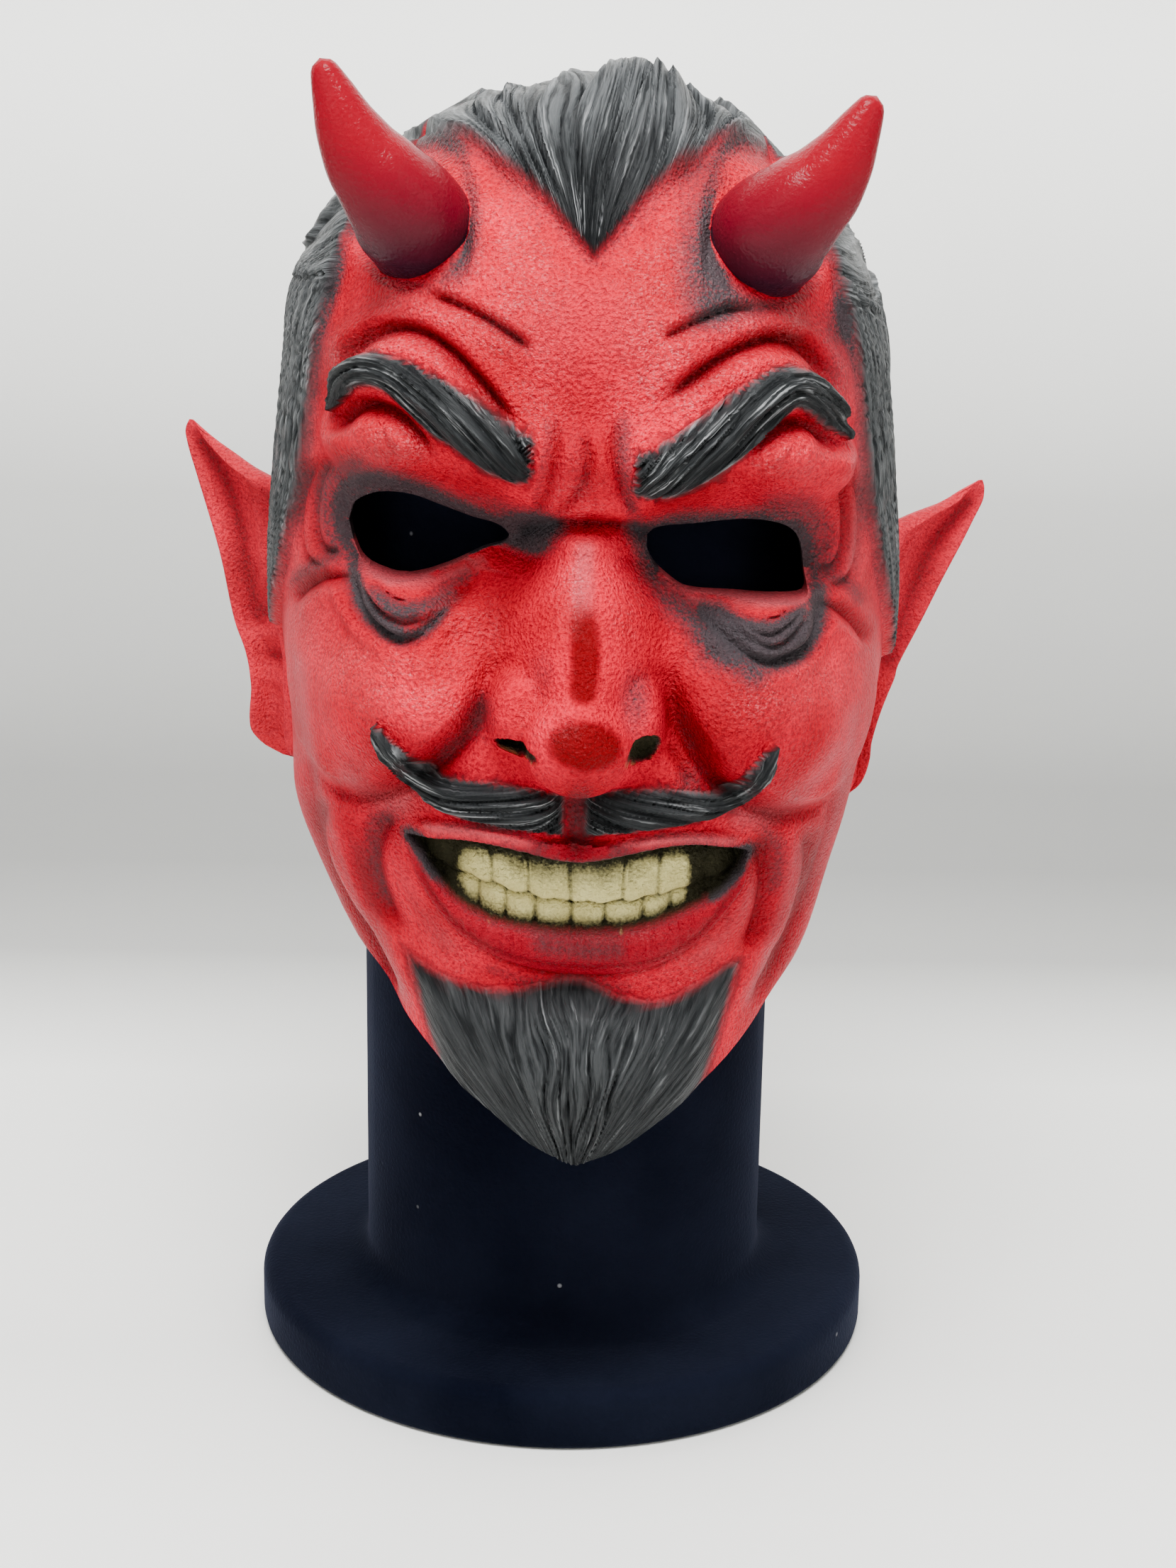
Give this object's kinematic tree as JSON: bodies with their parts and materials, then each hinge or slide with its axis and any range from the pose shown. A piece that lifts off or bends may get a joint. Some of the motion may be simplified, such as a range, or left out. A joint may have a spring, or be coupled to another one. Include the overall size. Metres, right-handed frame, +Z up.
{
  "type": "devil mask on display head",
  "caption": "Full-head latex devil mask with horns, pointed ears, moustache and goatee, resting on a flocked display head with a round foot.",
  "frame": {"origin": "centre of the foot's flat underside, on the table", "axes": "+Z up the stand's axis, -Y the way the face looks, +X towards the mask's own left ear"},
  "size_m": [0.2305, 0.2318, 0.3592],
  "materials": {
    "latex": "painted cast latex: satin red skin, dark grey hair, cream teeth, airbrushed shading",
    "flock": "black velvet flocking with a faint blue sheen"
  },
  "bodies": {
    "root": {"devil_mask": "latex", "display_stand": "flock"}
  },
  "joints": []
}
